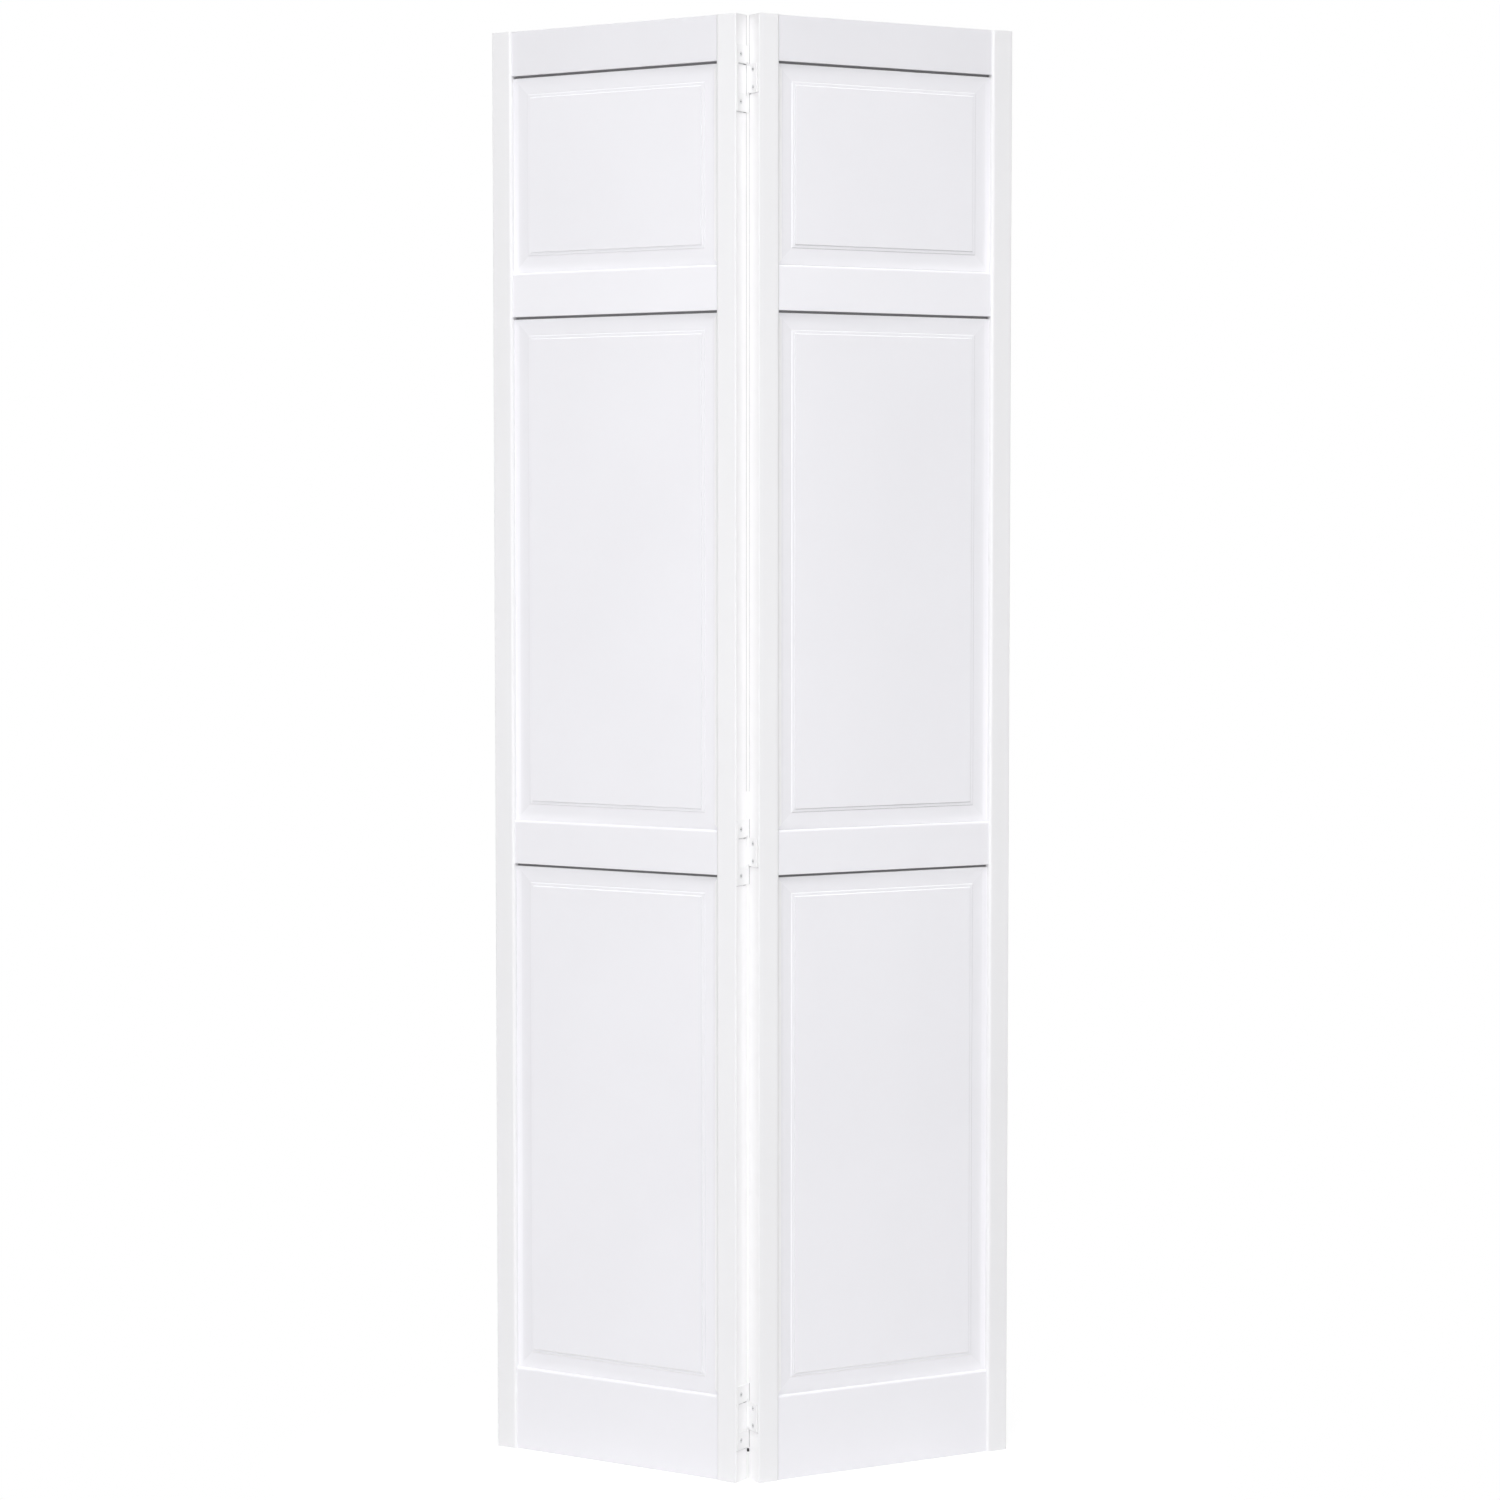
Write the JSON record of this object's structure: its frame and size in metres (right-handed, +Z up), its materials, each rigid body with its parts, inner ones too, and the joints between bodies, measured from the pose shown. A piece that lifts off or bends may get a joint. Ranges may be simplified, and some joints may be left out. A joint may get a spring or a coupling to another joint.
{
  "type": "bifold closet door",
  "caption": "Bifold closet door: a pair of stile-and-rail leaves with raised panels, joined by non-mortise hinges and standing partly folded.",
  "frame": {"origin": "centre of the footprint of the partly folded door, on the floor that it stands on", "axes": "+X to the right across the doorway as seen from the room, +Y into the closet, +Z up; the fold points towards -Y"},
  "size_m": [0.724, 0.2214, 1.997],
  "materials": {
    "painted_frame": "smooth satin white paint",
    "painted_panel": "smooth satin white paint",
    "hinge_plate": "white powder coat",
    "hinge_pin": "white powder coat",
    "screw": "bright zinc plate",
    "dowel": "bare hardwood"
  },
  "bodies": {
    "left_leaf": {"bottom_hinge_frame_plate": "hinge_plate", "bottom_hinge_frame_screw_lower": "screw", "bottom_hinge_frame_screw_upper": "screw", "bottom_hinge_pin": "hinge_pin", "left_bottom_rail": "painted_frame", "left_cross_rail": "painted_frame", "left_dowel_bottom_rail_fold_1": "dowel", "left_dowel_bottom_rail_fold_2": "dowel", "left_dowel_bottom_rail_outer_1": "dowel", "left_dowel_bottom_rail_outer_2": "dowel", "left_dowel_cross_rail_fold": "dowel", "left_dowel_cross_rail_outer": "dowel", "left_dowel_lock_rail_fold": "dowel", "left_dowel_lock_rail_outer": "dowel", "left_dowel_top_rail_fold": "dowel", "left_dowel_top_rail_outer": "dowel", "left_fold_stile": "painted_frame", "left_lock_rail": "painted_frame", "left_lower_panel": "painted_panel", "left_middle_panel": "painted_panel", "left_outer_stile": "painted_frame", "left_top_rail": "painted_frame", "left_upper_panel": "painted_panel", "middle_hinge_frame_plate": "hinge_plate", "middle_hinge_frame_screw_lower": "screw", "middle_hinge_frame_screw_upper": "screw", "middle_hinge_pin": "hinge_pin", "top_hinge_frame_plate": "hinge_plate", "top_hinge_frame_screw_lower": "screw", "top_hinge_frame_screw_upper": "screw", "top_hinge_pin": "hinge_pin"},
    "right_leaf": {"bottom_hinge_inset_plate": "hinge_plate", "bottom_hinge_inset_screw_lower": "screw", "bottom_hinge_inset_screw_upper": "screw", "middle_hinge_inset_plate": "hinge_plate", "middle_hinge_inset_screw_lower": "screw", "middle_hinge_inset_screw_upper": "screw", "right_bottom_rail": "painted_frame", "right_cross_rail": "painted_frame", "right_dowel_bottom_rail_fold_1": "dowel", "right_dowel_bottom_rail_fold_2": "dowel", "right_dowel_bottom_rail_outer_1": "dowel", "right_dowel_bottom_rail_outer_2": "dowel", "right_dowel_cross_rail_fold": "dowel", "right_dowel_cross_rail_outer": "dowel", "right_dowel_lock_rail_fold": "dowel", "right_dowel_lock_rail_outer": "dowel", "right_dowel_top_rail_fold": "dowel", "right_dowel_top_rail_outer": "dowel", "right_fold_stile": "painted_frame", "right_lock_rail": "painted_frame", "right_lower_panel": "painted_panel", "right_middle_panel": "painted_panel", "right_outer_stile": "painted_frame", "right_top_rail": "painted_frame", "right_upper_panel": "painted_panel", "top_hinge_inset_plate": "hinge_plate", "top_hinge_inset_screw_lower": "screw", "top_hinge_inset_screw_upper": "screw"}
  },
  "joints": [
    {"name": "fold", "type": "hinge", "parent": "left_leaf", "child": "right_leaf", "pos_m": [0, -0.08531, 0.9985], "axis": [0, 0, 1], "range_deg": [-59, 119]}
  ]
}
